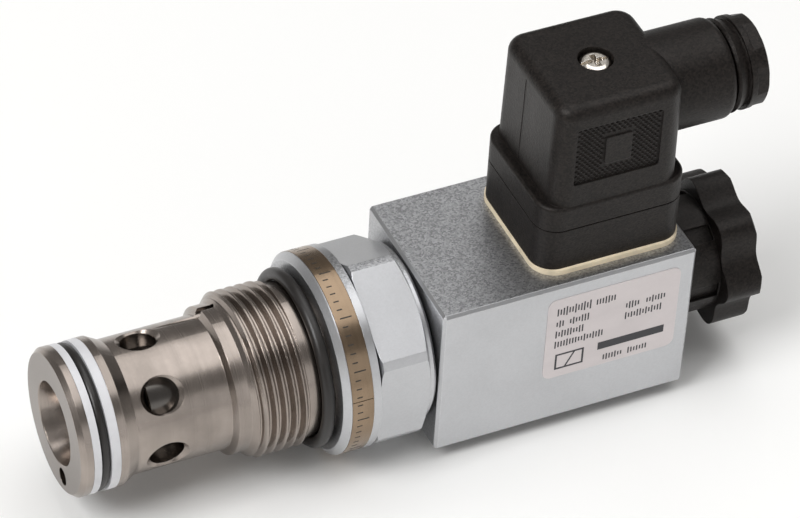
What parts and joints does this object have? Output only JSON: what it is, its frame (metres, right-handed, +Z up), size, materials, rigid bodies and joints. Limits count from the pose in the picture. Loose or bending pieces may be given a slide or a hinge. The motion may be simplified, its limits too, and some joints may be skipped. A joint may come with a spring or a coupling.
{
  "type": "cartridge valve",
  "caption": "Screw-in solenoid cartridge valve with threaded steel sleeve, hexagon body, square slip-on coil, star coil nut and square cable connector.",
  "frame": {"origin": "on the valve axis in the plane of the flange face that seals against the manifold", "axes": "+X along the valve axis from the nose to the coil nut, +Z up through the connector, Y across the coil"},
  "size_m": [0.1435, 0.0406, 0.0771],
  "materials": {
    "turned_steel": "turned and lightly passivated steel",
    "zinc_plate": "bright zinc plate, satin",
    "hardened_steel": "hardened, ground and oil-blackened",
    "spring_steel": "drawn spring wire",
    "magnet_iron": "turned soft magnetic iron",
    "engraved_bronze": "brushed, dark engraving",
    "brass": "machined brass",
    "copper": "enamelled winding wire",
    "nickel_plate": "bright nickel plate",
    "white_ptfe": "smooth PTFE",
    "black_rubber": "moulded nitrile rubber",
    "cream_rubber": "moulded flat gasket",
    "black_moulding": "fine-grained glass-filled polyamide",
    "grey_insulator": "moulded insulator",
    "label_film": "printed film"
  },
  "bodies": {
    "cartridge": {"cartridge_body": "turned_steel", "hex_body": "zinc_plate", "label_ring": "engraved_bronze", "nose_oring": "black_rubber", "backup_ring_front": "white_ptfe", "backup_ring_rear": "white_ptfe", "shoulder_oring": "black_rubber", "sleeve_oring": "black_rubber", "pilot_seat": "hardened_steel", "pole_piece": "magnet_iron", "armature_tube": "zinc_plate", "tube_oring": "black_rubber", "tube_end_plug": "magnet_iron", "main_spring": "spring_steel", "pilot_spring": "spring_steel"},
    "poppet": {"main_poppet": "hardened_steel", "orifice_screw": "hardened_steel"},
    "pilot": {"pilot_cone": "hardened_steel"},
    "armature": {"armature": "magnet_iron", "push_pin": "hardened_steel"},
    "override": {"override_pin": "hardened_steel", "override_oring": "black_rubber"},
    "coil": {"coil_housing": "zinc_plate", "coil_end_plate": "zinc_plate", "coil_bobbin": "grey_insulator", "coil_winding": "copper", "coil_front_oring": "black_rubber", "terminal_base": "black_moulding", "terminal_blades": "nickel_plate", "base_gasket": "cream_rubber", "rating_label": "label_film"},
    "nut_seal": {"coil_rear_oring": "black_rubber"},
    "nut": {"coil_nut": "black_moulding", "nut_insert": "brass"},
    "plug": {"connector_gasket": "black_rubber", "connector_housing": "black_moulding", "contact_carrier": "grey_insulator", "female_contacts": "brass", "contact_screws": "nickel_plate", "screw_seal": "black_rubber", "gland_seal": "black_rubber"},
    "centre_screw": {"centre_screw": "nickel_plate"},
    "gland_washer": {"gland_washer": "white_ptfe"},
    "gland_nut": {"gland_nut": "black_moulding"}
  },
  "joints": [
    {"name": "main_poppet_lift", "type": "slide", "parent": "cartridge", "child": "poppet", "axis": [1, 0, 0], "range_m": [0, 0.0045], "stiffness_N_per_m": 1500, "springref_m": -0.004, "deforming": ["main_spring"]},
    {"name": "override_push", "type": "slide", "parent": "cartridge", "child": "override", "axis": [-1, 0, 0], "range_m": [0, 0.0015]},
    {"name": "armature_stroke", "type": "slide", "parent": "cartridge", "child": "armature", "axis": [-1, 0, 0], "range_m": [0, 0.0015], "stiffness_N_per_m": 1200, "springref_m": -0.002},
    {"name": "pilot_stroke", "type": "slide", "parent": "cartridge", "child": "pilot", "axis": [-1, 0, 0], "range_m": [0, 0.0015], "deforming": ["pilot_spring"]},
    {"name": "coil_swivel", "type": "hinge", "parent": "cartridge", "child": "coil", "pos_m": [0.0478, 0, 0], "axis": [1, 0, 0], "continuous": true},
    {"name": "nut_travel", "type": "slide", "parent": "cartridge", "child": "nut_seal", "axis": [1, 0, 0], "range_m": [0, 0.005]},
    {"name": "nut_turn", "type": "hinge", "parent": "nut_seal", "child": "nut", "pos_m": [0.08, 0, 0], "axis": [1, 0, 0], "range_deg": [0, 1800]},
    {"name": "plug_pull", "type": "slide", "parent": "coil", "child": "plug", "axis": [0, 0, 1], "range_m": [0, 0.022]},
    {"name": "centre_screw_turn", "type": "hinge", "parent": "plug", "child": "centre_screw", "pos_m": [0.058, 0, 0.05], "axis": [0, 0, 1], "continuous": true},
    {"name": "gland_nut_travel", "type": "slide", "parent": "plug", "child": "gland_washer", "axis": [1, 0, 0], "range_m": [0, 0.00225]},
    {"name": "gland_nut_turn", "type": "hinge", "parent": "gland_washer", "child": "gland_nut", "pos_m": [0.088, 0, 0.0468], "axis": [1, 0, 0], "range_deg": [0, 540]}
  ],
  "couplings": [
    {"joint": "override_push", "follows": "armature_stroke", "ratio": 1},
    {"joint": "pilot_stroke", "follows": "armature_stroke", "ratio": 1},
    {"joint": "nut_turn", "follows": "nut_travel", "rad_per_m": 6283.2},
    {"joint": "gland_nut_turn", "follows": "gland_nut_travel", "rad_per_m": 4188.8}
  ]
}
